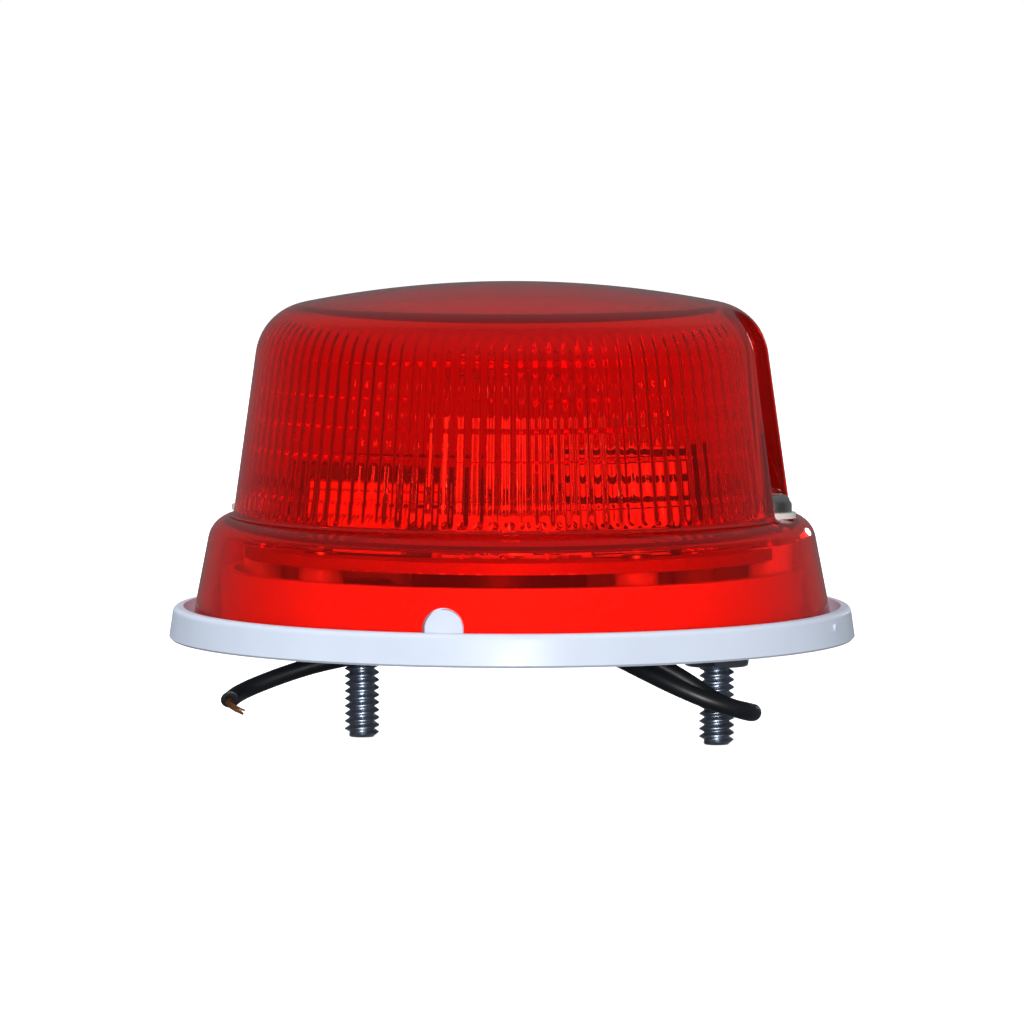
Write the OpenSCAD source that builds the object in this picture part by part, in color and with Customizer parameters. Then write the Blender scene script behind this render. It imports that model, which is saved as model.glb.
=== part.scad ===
// Round beacon strobe with a small sounder: a white base with an upstanding lip, a deep lens
// that lifts off when its two screws are out, and two threaded studs below for mounting.
// Millimetres, +Z up. The origin is the centre of the flat mounting face. The two studs and the
// two lens screws lie on the X axis, and the lens key faces -Y.

/* [Base] */
// Outside diameter of the base at its mounting face
base_d = 96; // [94:1:130]
// Height of the upstanding lip above the mounting face
lip_h = 4.5; // [3.6:0.1:6]
// Thickness of the lip
lip_t = 1.5; // [1:0.1:2.5]
// How far the lip leans in from its foot to its top
lip_lean = 0.5; // [0.1:0.1:1.2]
// Rounding of the lip's outer top edge
lip_round = 0.8; // [0.2:0.1:1]
// Thickness of the floor
floor_t = 2; // [1.6:0.1:3]
// Height of the ring inside the lens skirt, above the floor
spigot_h = 8; // [5:0.1:9]
// Thickness of that ring
spigot_t = 1.8; // [1.2:0.1:2.6]
// Gap between that ring's top and the lens
spigot_gap = 0.45; // [0.3:0.05:1]
// Diameter of the bosses that take the lens screws
boss_d = 6; // [5.4:0.1:7]

/* [Lens] */
// Height of the lens, from its foot to its crown
lens_h = 46.9; // [38:0.1:60]
// Wall thickness of the lens
lens_wall = 2.2; // [1.6:0.1:2.8]
// Gap between the lens foot and the lip
moat_w = 1.8; // [1:0.1:4]
// Height of the skirt, from the lens foot to the shoulder
skirt_h = 14.5; // [13:0.1:18]
// How far the dome's foot stands in from the skirt's foot
shoulder_w = 5.7; // [5:0.1:8]
// Lean of the skirt from the vertical, in degrees
skirt_draft = 11; // [4:0.5:14]
// Lean of the dome wall from the vertical, in degrees
dome_draft = 8; // [2:0.5:12]
// Fillet round the shoulder
shoulder_fillet = 3.8; // [3:0.1:5]
// Fillet round the crown
crown_fillet = 8; // [4:0.5:10]
// Radius of the shallow dome of the crown
crown_r = 150; // [100:5:300]
// Width of the round channels that the lens screws stand in
channel_w = 9.6; // [9:0.1:12]
// Width of the notch that drops over the base's key
notch_w = 5.8; // [4:0.1:8]
// Height of that notch above the mounting face
notch_top = 7.7; // [6:0.1:9]

/* [Gasket] */
// Thickness of the gasket under the lens
gasket_t = 0.8; // [0.5:0.1:1.5]
// Width of the gasket
gasket_w = 2.5; // [2:0.1:3.4]

/* [Lens screws] */
// Distance of the screws in from the dome's foot
screw_inset = 2.7; // [2.4:0.1:4]
// Thread diameter, 6-32
screw_d = 3.5; // [3:0.1:4.2]
// Length under the head
screw_len = 12.7; // [12:0.1:14]
// Diameter of the pan head
screw_head_d = 6.9; // [5.6:0.1:7.6]
// Height of the pan head
screw_head_h = 2.5; // [2:0.1:3]
// Diameter of the washer under the head
screw_washer_d = 8; // [7.6:0.1:8.6]
// Thickness of that washer
screw_washer_t = 0.8; // [0.5:0.1:1.2]

/* [Mounting studs] */
// Thread diameter, 10-24
stud_d = 4.83; // [4:0.01:5.8]
// Distance between the two studs
stud_spacing = 50.8; // [42:0.1:52]
// Distance of the middle of the two studs from the lens axis
stud_offset = 3.8; // [0:0.1:4.5]
// How far the studs stand out below the mounting face
stud_out = 14.5; // [12:0.1:24]
// Width across the flats of the hexagon heads held in the base
bolt_head_af = 7.94; // [7.6:0.01:8.2]
// Height of those heads
bolt_head_h = 3; // [2.4:0.1:3.6]
// Height of the pads under those heads, above the floor
pad_h = 2.5; // [1.5:0.1:3]
// Diameter of the pads
pad_d = 15; // [12.5:0.1:16]
// Width across the flats of the nuts
nut_af = 8.73; // [8:0.01:9.6]
// Height of the nuts
nut_h = 3; // [2.4:0.1:4]
// Diameter of the toothed lock washers
nut_washer_d = 10.4; // [9.6:0.1:12]
// Thickness of the lock washers
nut_washer_t = 0.5; // [0.4:0.05:1]

/* [Circuit board] */
// Height of the board's posts above the floor
post_h = 9.6; // [9.4:0.1:10.4]
// Diameter of the posts
post_d = 6; // [5:0.1:7]
// Distance of the posts in from the board's edge
post_inset = 6.3; // [5:0.1:8]
// Thickness of the board
board_t = 1.6; // [1:0.1:2]
// Gap between the board's edge and the lens
board_gap = 3.1; // [2.5:0.1:5]
// Thread diameter of the board's screws
board_screw_d = 2.4; // [2:0.1:3]

/* [Flash tube] */
// Outside diameter of the glass tube
tube_d = 4; // [3:0.1:5]
// Wall of the glass tube
tube_wall = 0.6; // [0.4:0.1:0.9]
// Distance between the two legs of the U
tube_pitch = 10; // [8:0.1:12]
// Gap from the top of the tube to the lens crown
tube_clear = 7.5; // [5:0.1:12]
// Height of the socket that holds the legs
socket_h = 4; // [3:0.1:6]

/* [Sounder] */
// Diameter of the piezo sounder
sounder_d = 24; // [18:0.5:26]
// Height of the piezo sounder
sounder_h = 8.2; // [6:0.1:8.8]

/* [Leads] */
// Diameter of the insulated leads
lead_d = 2.4; // [1.8:0.1:2.4]
// Diameter of the bunch of copper strands at their ends
copper_d = 1.1; // [0.8:0.1:1.4]

/* [Hidden] */
$fn = 96;

// A little extra so that a cut runs right through, and the free play round threads and legs
over = 1;
thread_play = 0.05;
screw_play = 0.2;
leg_play = 0.05;
joint_gap = 0.1;
key_play = 0.25;
boss_rise = 0.4; // how far the lens screws' bosses stand above the board

// Levels above the mounting face
seat_z = floor_t + gasket_t;
shoulder_z = seat_z + skirt_h;
crown_z = seat_z + lens_h;
spigot_z = floor_t + spigot_h;
board_z = floor_t + post_h;
board_top = board_z + board_t;
boss_top = board_top + boss_rise;
bolt_seat_z = floor_t + pad_h;
pocket_depth = 2;
nut_stack = nut_washer_t + nut_h;
stud_chamfer = 0.5;
shank_d = stud_d - 0.45; // from the head to the nut the shank is about as thick as the thread's pitch line

// Radii from the lens axis
base_r = base_d / 2;
lens_r = base_r - lip_t - moat_w;
dome_r = lens_r - shoulder_w;
screw_r = dome_r - screw_inset;
function skirt_out(z) = lens_r - (z - seat_z) * tan(skirt_draft);
function skirt_in(z) = skirt_out(z) - lens_wall / cos(skirt_draft);
spigot_r = skirt_in(spigot_z) - spigot_gap;
board_r = skirt_in(board_top) - board_gap;
post_r = board_r - post_inset;
stud_x = [stud_offset - stud_spacing / 2, stud_offset + stud_spacing / 2];

// The cable hole, behind the lens axis
cable_at = [0, 13];
cable_bore_d = 6.6;
grommet_neck_d = 8.8;
grommet_flange_d = 11;
grommet_flange_t = 0.8;
cable_boss_d = 15;
cable_boss_z = floor_t + 1.2;

// Places on the board
tube_foot = board_top + socket_h - 2;
tube_top = crown_z - lens_wall - tube_clear;
socket_size = [18, 9];
coil_at = [-13, 8];
capacitor_at = [19, -6];
capacitor_size = [12.5, 14];
transformer_at = [-17, -10];
transformer_size = [14, 12, 11];
transistor_at = [2, 20];
film_at = [15, 14];
resistor_at = [[-2, -19], [4, -19], [10, -19]];
diode_at = [[-24, 12], [-14, 22]];
sounder_at = [3, -22];

// Routes of the two leads, from the top of the grommet outwards
lead_left_path = [
    [-0.4, 14.3, 3.2], [-0.5, 14.3, 2.4], [-1, 14.3, 1.2], [-1.9, 14.3, 0], [-3.7, 14.2, -1.4],
    [-6.6, 13.7, -2.3], [-10.5, 12.7, -2.5], [-15, 11.2, -2.6], [-19.5, 9.4, -3],
    [-22.8, 7.9, -3.6], [-25.9, 6.7, -4.2], [-29.8, 5.3, -5.1], [-33.6, 3.6, -6.3],
    [-37.2, 1.4, -7.7], [-39.2, -0.8, -8.7], [-39.9, -3.3, -9.4]
];
lead_right_path = [
    [0.6, 11.7, 3.2], [0.7, 11.7, 2.4], [1.2, 11.7, 1.2], [2, 11.5, 0], [3.6, 10.8, -1.3],
    [5.8, 8.7, -2.1], [7.6, 5, -2.2], [9.6, 0, -2], [11.8, -5, -1.7],
    [14.4, -10, -1.3], [17.7, -14, -1.35], [21.7, -16, -2.8], [26.2, -17, -4.7],
    [30.6, -16.9, -6.5], [34.2, -15.5, -7.8], [36.1, -13.2, -8.6], [36.3, -10.5, -8.9],
    [34.9, -8.3, -8.9], [32.6, -7.3, -8.5], [30, -7.2, -7.4], [27.2, -7.6, -5.5],
    [23.8, -8.3, -3.4], [20.4, -8.9, -1.9], [17.4, -8.8, -1.4]
];
copper_left_path = [
    [-39.95, -3.4, -9.4], [-39.8, -4.1, -9.9], [-38.7, -4.4, -10.6], [-37, -4.5, -11.4]
];
copper_right_path = [[17.3, -8.8, -1.4], [16, -8.7, -1.4], [14.9, -8.4, -1.3]];
inner_left_path = [
    [-0.4, 14.3, 3.5], [-0.4, 14.4, 5.2], [-1.2, 15, 7.5], [-1.9, 15.6, 9.6],
    [-2, 15.8, board_z - 0.5], [-2, 15.8, board_z]
];
inner_right_path = [
    [0.6, 11.7, 3.5], [0.7, 11.6, 5.2], [1.7, 11, 7.5], [2.8, 10.4, 9.6],
    [3, 10.2, board_z - 0.5], [3, 10.2, board_z]
];

// ---------------------------------------------------------------- outlines

function arc(centre, radius, from, to, steps = 8) =
    [for (i = [0:steps]) let (a = from + (to - from) * i / steps) centre + radius * [cos(a), sin(a)]];

// The fillet that joins a leaning wall, met at distance `reach` from the origin along its normal,
// to a crown sphere: its centre
function fillet_centre(reach, lean, sphere_z, sphere_r, fillet) =
    let (a = reach - fillet - sphere_z * sin(lean), b = sqrt(pow(sphere_r - fillet, 2) - a * a))
    [a * cos(lean) - b * sin(lean), sphere_z + a * sin(lean) + b * cos(lean)];

// Half section of the dome, set in from the outside by `inset` and reaching down to `foot_z`
function dome_outline(inset, foot_z) =
    let (
        reach = dome_r * cos(dome_draft) + shoulder_z * sin(dome_draft) - inset,
        sphere_z = crown_z - crown_r,
        sphere_r = crown_r - inset,
        fillet = max(crown_fillet - inset, 1),
        c = fillet_centre(reach, dome_draft, sphere_z, sphere_r, fillet),
        edge = atan2(c[1] - sphere_z, c[0])
    )
    concat(
        [[0, foot_z], [(reach - foot_z * sin(dome_draft)) / cos(dome_draft), foot_z]],
        arc(c, fillet, dome_draft, edge),
        arc([0, sphere_z], sphere_r, edge, 90)
    );

// Half section of the skirt, set in from the outside by `inset` and reaching down to `foot_z`
function skirt_outline(inset, foot_z) =
    let (
        reach = lens_r * cos(skirt_draft) + seat_z * sin(skirt_draft) - inset,
        fillet = shoulder_fillet - inset,
        z = shoulder_z - shoulder_fillet,
        r = (reach - fillet - z * sin(skirt_draft)) / cos(skirt_draft)
    )
    concat(
        [[0, foot_z], [(reach - foot_z * sin(skirt_draft)) / cos(skirt_draft), foot_z]],
        arc([r, z], fillet, skirt_draft, 90),
        [[0, shoulder_z - inset]]
    );

// ---------------------------------------------------------------- shared shapes

function unit(v) = v / norm(v);

function heading(path, i) = unit(path[min(i + 1, len(path) - 1)] - path[max(i - 1, 0)]);

// A sideways direction at each point of a route, carried along it without twisting
function carried(path, side, i = 0) = i == len(path) ? [] :
    let (t = heading(path, i), s = unit(side - (side * t) * t))
    concat([s], carried(path, s, i + 1));

// A tube of `sides` sides along a route that sets out across the Y axis
module swept(path, d, sides = 8) {
    last = len(path) - 1;
    across = carried(path, [0, 1, 0]);
    rings = [for (i = [0:last], k = [0:sides - 1])
        let (a = 360 * k / sides, up = cross(across[i], heading(path, i)))
        path[i] + d / 2 * (across[i] * cos(a) + up * sin(a))
    ];
    walls = [for (i = [0:last - 1], k = [0:sides - 1])
        let (a = i * sides + k, b = i * sides + (k + 1) % sides)
        [a, b, b + sides, a + sides]
    ];
    start = [for (k = [sides - 1:-1:0]) k];
    end = [for (k = [0:sides - 1]) last * sides + k];
    polyhedron(points = rings, faces = concat([start], walls, [end]), convexity = 6);
}

module hexagon(af, h) rotate(30) cylinder(h = h, d = af / cos(30), $fn = 6);

module ring(outer_d, inner_d, h) difference() {
    cylinder(h = h, d = outer_d);
    translate([0, 0, -over]) cylinder(h = h + 2 * over, d = inner_d);
}

// Pan head standing on z = 0, with a cross recess
module pan_head(d, h) difference() {
    rotate_extrude() polygon(concat(
        [[0, 0], [d / 2, 0], [d / 2, h * 0.35]],
        arc([d / 2 - h * 0.65, h * 0.35], h * 0.65, 0, 90, 5),
        [[0, h]]
    ));
    for (turn = [0, 90]) rotate(turn) translate([-d * 0.27, -d * 0.055, h * 0.45])
        cube([d * 0.54, d * 0.11, h]);
}

// A stub with a straight lead at each end, bent down to the board
module axial_part(length, d, wire_d = 0.7) {
    lift = d / 2 + 0.4;
    translate([0, 0, board_top + lift]) rotate([90, 0, 0]) {
        translate([0, 0, -length / 2]) cylinder(h = length, d = d, $fn = 32);
        for (side = [-1, 1]) translate([0, 0, side * (length / 2 + 0.7) - 0.7])
            cylinder(h = 1.4, d = wire_d, $fn = 16);
    }
    for (side = [-1, 1]) translate([0, side * (length / 2 + 1.4), board_top])
        cylinder(h = lift + wire_d / 2, d = wire_d, $fn = 16);
}

// ---------------------------------------------------------------- base

module base_tray() rotate_extrude() polygon(concat(
    [[0, 0], [base_r - 0.3, 0], [base_r, 0.3]],
    arc([base_r - lip_lean - lip_round, lip_h - lip_round], lip_round, 5, 90, 5),
    [[base_r - lip_lean - lip_t, lip_h], [base_r - lip_lean - lip_t, floor_t], [0, floor_t]]
));

// The key that the lens notch drops over, standing out of the spigot
module key_shape(grow) {
    w = notch_w / 2 + grow;
    z = notch_top - notch_w / 2;
    translate([0, 0, z]) rotate([90, 0, 0]) cylinder(h = base_r, r = w);
    translate([-w, -base_r, seat_z]) cube([2 * w, base_r, z - seat_z]);
}

module base_key() intersection() {
    key_shape(-key_play);
    translate([0, 0, seat_z + joint_gap]) ring(2 * skirt_out(notch_top), 2 * (spigot_r - spigot_t), notch_top);
}

module base() color("whitesmoke") difference() {
    union() {
        base_tray();
        ring(2 * spigot_r, 2 * (spigot_r - spigot_t), spigot_z);
        base_key();
        for (side = [-1, 1]) translate([side * screw_r, 0, 0]) cylinder(h = boss_top, d = boss_d);
        for (x = stud_x) translate([x, 0, 0]) cylinder(h = bolt_seat_z + pocket_depth, d = pad_d);
        for (turn = [45:90:315]) rotate(turn) translate([post_r, 0, 0]) cylinder(h = board_z, d = post_d);
        translate([cable_at[0], cable_at[1], 0]) cylinder(h = cable_boss_z, d = cable_boss_d);
        // Moulding gate mark on the outside of the lip
        rotate(-8.4) translate([base_r - 1.2, 0, lip_h * 0.6]) rotate([0, 90, 0]) cylinder(h = 1.1, d = 1.1);
    }
    for (side = [-1, 1]) translate([side * screw_r, 0, floor_t + 1])
        cylinder(h = boss_top, d = screw_d + 2 * thread_play);
    for (x = stud_x) translate([x, 0, 0]) {
        translate([0, 0, -over]) cylinder(h = boss_top, d = stud_d + 2 * thread_play);
        translate([0, 0, bolt_seat_z]) hexagon(bolt_head_af + 2 * thread_play, bolt_head_h + pocket_depth);
    }
    for (turn = [45:90:315]) rotate(turn) translate([post_r, 0, floor_t])
        cylinder(h = board_z, d = board_screw_d + 2 * thread_play);
    translate([cable_at[0], cable_at[1], -over]) {
        cylinder(h = cable_boss_z + 2 * over, d = grommet_neck_d + 2 * thread_play);
        cylinder(h = over + grommet_flange_t + joint_gap, d = grommet_flange_d + 2 * joint_gap);
    }
    // Sound ports under the sounder
    translate([sounder_at[0], sounder_at[1], -over]) for (turn = [0:60:300])
        rotate(turn) translate([4, 0, 0]) cylinder(h = floor_t + 2 * over, d = 2);
}

// ---------------------------------------------------------------- lens and its screws

// The upright channel round a lens screw, open upwards from `foot_z`: round inwards, with sides
// that run outwards in planes through the lens axis
module channel(side, grow, foot_z) {
    w = channel_w / 2 + grow;
    spread = asin(w / screw_r);
    rotate(side > 0 ? 0 : 180) translate([0, 0, foot_z]) linear_extrude(crown_z) polygon(concat(
        arc([screw_r, 0], w, 90 + spread, 270 - spread, 12),
        [for (turn = [-1, 1]) 2 * base_r * [cos(turn * spread), sin(turn * spread)]]
    ));
}

module lens() color("red", 0.75) difference() {
    union() {
        rotate_extrude() polygon(skirt_outline(0, seat_z));
        rotate_extrude() polygon(dome_outline(0, shoulder_z - shoulder_fillet));
    }
    difference() {
        union() {
            rotate_extrude() polygon(skirt_outline(lens_wall, seat_z - over));
            rotate_extrude() polygon(dome_outline(lens_wall, shoulder_z - shoulder_fillet));
        }
        for (side = [-1, 1]) {
            channel(side, lens_wall, shoulder_z - lens_wall);
            translate([side * screw_r, 0, boss_top + joint_gap]) cylinder(h = shoulder_z - boss_top, d = boss_d);
        }
    }
    for (side = [-1, 1]) {
        channel(side, 0, shoulder_z);
        translate([side * screw_r, 0, 0]) cylinder(h = crown_z, d = screw_d + 2 * screw_play);
    }
    difference() {
        key_shape(0);
        cylinder(h = crown_z, r = spigot_r - spigot_t);
    }
    translate([-notch_w / 2, -base_r, 0]) cube([notch_w, base_r - spigot_r, seat_z + over]);
}

module lens_gasket() color("gainsboro") translate([0, 0, floor_t])
    ring(2 * lens_r, 2 * (lens_r - gasket_w), gasket_t);

module lens_screw(side) color("silver") translate([side * screw_r, 0, shoulder_z + screw_washer_t]) {
    translate([0, 0, -screw_len]) cylinder(h = screw_len, d = screw_d);
    pan_head(screw_head_d, screw_head_h);
}

module lens_screw_washer(side) color("gainsboro") translate([side * screw_r, 0, shoulder_z])
    ring(screw_washer_d, screw_d + 2 * thread_play, screw_washer_t);

// ---------------------------------------------------------------- studs and nuts

module mounting_bolt(x) color("silver") translate([x, 0, bolt_seat_z]) {
    hexagon(bolt_head_af, bolt_head_h);
    translate([0, 0, -bolt_seat_z - nut_stack]) cylinder(h = bolt_seat_z + nut_stack + over, d = shank_d);
    translate([0, 0, -bolt_seat_z - stud_out + stud_chamfer])
        cylinder(h = stud_out - nut_stack - stud_chamfer, d = stud_d);
    translate([0, 0, -bolt_seat_z - stud_out])
        cylinder(h = stud_chamfer, d1 = stud_d - 2 * stud_chamfer, d2 = stud_d);
}

module nut_washer(x) color("silver") translate([x, 0, -nut_washer_t]) difference() {
    ring(nut_washer_d, stud_d + 4 * thread_play, nut_washer_t);
    for (turn = [0:30:330]) rotate(turn) translate([nut_washer_d / 2 - 0.9, -0.35, -over])
        cube([2, 0.7, nut_washer_t + 2 * over]);
}

module mounting_nut(x) color("silver") translate([x, 0, -nut_washer_t - nut_h]) difference() {
    intersection() {
        rotate(8) hexagon(nut_af, nut_h);
        rotate_extrude() polygon([
            [0, 0], [nut_af / 2 - 0.1, 0], [nut_af / 2 / cos(30), 0.35],
            [nut_af / 2 / cos(30), nut_h - 0.35], [nut_af / 2 - 0.1, nut_h], [0, nut_h]
        ]);
    }
    translate([0, 0, -over]) cylinder(h = nut_h + 2 * over, d = stud_d + 2 * thread_play);
}

// ---------------------------------------------------------------- cable entry

module cable_grommet() color("dimgray") translate([cable_at[0], cable_at[1], 0]) rotate_extrude() polygon([
    [cable_bore_d / 2, 0],
    [grommet_flange_d / 2, 0], [grommet_flange_d / 2, grommet_flange_t],
    [grommet_neck_d / 2, grommet_flange_t], [grommet_neck_d / 2, cable_boss_z],
    [grommet_flange_d / 2, cable_boss_z], [grommet_neck_d / 2, cable_boss_z + grommet_flange_t],
    [cable_bore_d / 2, cable_boss_z + grommet_flange_t]
]);

module lead_left() color([0.05, 0.05, 0.05]) swept(lead_left_path, lead_d);

module lead_right() color([0.05, 0.05, 0.05]) swept(lead_right_path, lead_d);

module copper_end_left() color("peru") swept(copper_left_path, copper_d);

module copper_end_right() color("peru") swept(copper_right_path, copper_d);

module inner_leads() color([0.05, 0.05, 0.05]) {
    swept(inner_left_path, lead_d);
    swept(inner_right_path, lead_d);
}

// ---------------------------------------------------------------- electronics

module circuit_board() color("darkgoldenrod") translate([0, 0, board_z]) difference() {
    cylinder(h = board_t, r = board_r);
    for (side = [-1, 1]) translate([side * screw_r, 0, -over]) cylinder(h = board_t + 2 * over, d = boss_d + 1.6);
    for (turn = [45:90:315]) rotate(turn) translate([post_r, 0, -over])
        cylinder(h = board_t + 2 * over, d = board_screw_d + 0.4);
}

module board_screws() color("silver") for (turn = [45:90:315]) rotate(turn) translate([post_r, 0, board_top]) {
    translate([0, 0, -6]) cylinder(h = 6, d = board_screw_d, $fn = 32);
    pan_head(4.6, 1.7);
}

module tube_ring() difference() {
    circle(d = tube_d);
    circle(d = tube_d - 2 * tube_wall);
}

module flash_tube() color("lightcyan", 0.5) {
    bend_z = tube_top - tube_pitch / 2 - tube_d / 2;
    for (side = [-1, 1]) translate([side * tube_pitch / 2, 0, tube_foot])
        linear_extrude(bend_z - tube_foot) tube_ring();
    translate([0, 0, bend_z]) rotate([90, 0, 0]) rotate_extrude(angle = 180)
        translate([tube_pitch / 2, 0]) tube_ring();
}

module tube_electrodes() color("darkgray") for (side = [-1, 1]) translate([side * tube_pitch / 2, 0, 0]) {
    translate([0, 0, tube_foot]) cylinder(h = 5, d = tube_d - 2 * tube_wall - 2 * leg_play);
    translate([0, 0, board_top]) cylinder(h = tube_foot - board_top + over, d = 0.8, $fn = 24);
}

module tube_socket() color("white") translate([0, 0, board_top]) difference() {
    translate([-socket_size[0] / 2, -socket_size[1] / 2, 0]) cube([socket_size[0], socket_size[1], socket_h]);
    for (side = [-1, 1]) translate([side * tube_pitch / 2, 0, 0]) {
        translate([0, 0, tube_foot - board_top]) cylinder(h = socket_h, d = tube_d + 2 * leg_play);
        translate([0, 0, -over]) cylinder(h = socket_h, d = 0.9, $fn = 24);
    }
}

module trigger_coil() color("saddlebrown") translate([coil_at[0], coil_at[1], board_top]) {
    cylinder(h = 1, d = 9.4);
    translate([0, 0, 1]) cylinder(h = 6.5, d = 8.2);
    translate([0, 0, 7.5]) cylinder(h = 1, d = 9.4);
}

module trigger_wire() color("gray") swept([
    [coil_at[0] + 2, coil_at[1], board_top + 8.8], [coil_at[0] + 3.5, coil_at[1] - 1.5, board_top + 11],
    [-tube_pitch / 2 - 0.6, 2.8, board_top + 14], [-tube_pitch / 2 + 1, 2.5, board_top + 17],
    [-tube_pitch / 2 + 2.5, 2.5, board_top + 19]
], 0.6);

module storage_capacitor() color([0.12, 0.12, 0.14])
    translate([capacitor_at[0], capacitor_at[1], board_top]) rotate_extrude() polygon(concat(
        [[0, 0], [capacitor_size[0] / 2 - 0.6, 0], [capacitor_size[0] / 2, 0.6], [capacitor_size[0] / 2, 1.6],
         [capacitor_size[0] / 2 - 0.4, 2.1], [capacitor_size[0] / 2, 2.6]],
        arc([capacitor_size[0] / 2 - 0.8, capacitor_size[1] - 0.8], 0.8, 0, 90, 4),
        [[0, capacitor_size[1]]]
    ));

module inverter_core() color("dimgray")
    translate([transformer_at[0], transformer_at[1], board_top]) difference() {
        translate([-transformer_size[0] / 2, -transformer_size[1] / 4, 0])
            cube([transformer_size[0], transformer_size[1] / 2, transformer_size[2]]);
        for (side = [-1, 1]) translate([side * transformer_size[0] / 4, 0, transformer_size[2] / 2])
            cube([2.8, transformer_size[1], transformer_size[2] - 4], center = true);
    }

module inverter_winding() color("gold")
    translate([transformer_at[0], transformer_at[1], board_top + transformer_size[2] / 2]) difference() {
        cube([9.6, transformer_size[1], transformer_size[2] - 4.4], center = true);
        cube([4.5, transformer_size[1] / 2 + 0.2, transformer_size[2]], center = true);
    }

module switching_transistor() color([0.1, 0.1, 0.1]) translate([transistor_at[0], transistor_at[1], board_top]) {
    translate([-5, 0.05, 3.5]) cube([10, 4.4, 9]);
    for (x = [-2.5, 0, 2.5]) translate([x - 0.4, 2, 0]) cube([0.8, 0.5, 4]);
}

module heat_sink() color("silver") translate([transistor_at[0], transistor_at[1], board_top]) {
    translate([-7, -1.5, 0]) cube([14, 1.5, 15]);
    for (x = [-7, 5.5]) translate([x, -5.5, 0]) cube([1.5, 4.1, 15]);
}

module resistors() for (at = resistor_at) color("tan") translate([at[0], at[1], 0]) axial_part(6.3, 2.4);

module diodes() for (at = diode_at) color([0.1, 0.1, 0.1]) translate([at[0], at[1], 0]) axial_part(4.6, 2.6);

module film_capacitor() color("indianred") translate([film_at[0] - 5, film_at[1] - 2.5, board_top]) cube([10, 5, 8]);

module piezo_sounder() color([0.1, 0.1, 0.1]) translate([sounder_at[0], sounder_at[1], board_z - sounder_h]) difference() {
    cylinder(h = sounder_h, d = sounder_d);
    translate([0, 0, -over]) cylinder(h = over + 1.5, d = 4);
}

base();
lens();
lens_gasket();
lens_screw(-1);  // lens_screw_left
lens_screw(1);  // lens_screw_right
lens_screw_washer(-1);  // lens_screw_washer_left
lens_screw_washer(1);  // lens_screw_washer_right
mounting_bolt(stud_x[0]);  // mounting_bolt_left
mounting_bolt(stud_x[1]);  // mounting_bolt_right
nut_washer(stud_x[0]);  // nut_washer_left
nut_washer(stud_x[1]);  // nut_washer_right
mounting_nut(stud_x[0]);  // mounting_nut_left
mounting_nut(stud_x[1]);  // mounting_nut_right
cable_grommet();
lead_left();
lead_right();
copper_end_left();
copper_end_right();
inner_leads();
circuit_board();
board_screws();
flash_tube();
tube_electrodes();
tube_socket();
trigger_wire();
trigger_coil();
storage_capacitor();
inverter_core();
inverter_winding();
switching_transistor();
heat_sink();
resistors();
diodes();
film_capacitor();
piezo_sounder();
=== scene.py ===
"""The looks of a round beacon strobe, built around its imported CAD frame."""

import math
import random

import bmesh
import bpy
from bpy.props import FloatProperty, FloatVectorProperty, IntProperty, PointerProperty
from mathutils import Matrix, Vector


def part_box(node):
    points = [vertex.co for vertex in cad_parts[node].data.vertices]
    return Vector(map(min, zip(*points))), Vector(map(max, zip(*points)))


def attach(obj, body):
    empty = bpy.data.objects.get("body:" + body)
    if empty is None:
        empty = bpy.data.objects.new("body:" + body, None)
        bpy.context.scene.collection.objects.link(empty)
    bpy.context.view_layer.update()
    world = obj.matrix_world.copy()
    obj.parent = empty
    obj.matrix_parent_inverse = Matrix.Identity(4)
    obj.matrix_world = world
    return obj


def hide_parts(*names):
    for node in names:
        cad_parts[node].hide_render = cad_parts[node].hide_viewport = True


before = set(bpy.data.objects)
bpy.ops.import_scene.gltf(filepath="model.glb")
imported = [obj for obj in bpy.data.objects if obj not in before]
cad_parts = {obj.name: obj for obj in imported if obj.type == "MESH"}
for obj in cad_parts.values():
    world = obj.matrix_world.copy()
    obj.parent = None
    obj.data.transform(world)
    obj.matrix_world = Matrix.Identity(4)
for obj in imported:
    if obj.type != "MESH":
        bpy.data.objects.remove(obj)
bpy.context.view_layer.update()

bl_info = {
    "name": "Beacon strobe",
    "version": (1, 0, 0),
    "blender": (4, 5, 0),
    "location": "View3D > Sidebar > Strobe",
    "description": "A round beacon strobe: fluted lens, lipped base, threaded studs and leads",
    "category": "Add Mesh",
}

MM = 0.001
FULL_TURN = 2 * math.pi
SIDES = {"left": -1, "right": 1}
SQUARE = ((1, 1), (-1, 1), (-1, -1), (1, -1))
WELD = 0.0002 * MM  # points closer than this are one
HAIR = 1e-7  # a radius as good as none
SHARP = 32  # edges that turn by more degrees than this stay sharp


# --- sizes and colours ---


def length(name, description, millimetres):
    """A length that the user can change, given in millimetres and kept in metres."""
    return FloatProperty(
        name=name, description=description, default=millimetres * MM, min=0, unit="LENGTH", precision=5
    )


def slope(name, description, degrees):
    """An angle that the user can change, given in degrees."""
    return FloatProperty(
        name=name, description=description, default=math.radians(degrees), unit="ROTATION"
    )


def share(name, description, value, high=1.0):
    """A plain number that the user can change."""
    return FloatProperty(name=name, description=description, default=value, min=0, max=high)


def paint(name, description, colour):
    """A colour that the user can change."""
    return FloatVectorProperty(
        name=name, description=description, default=colour, subtype="COLOR", size=3, min=0, max=1
    )


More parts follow.
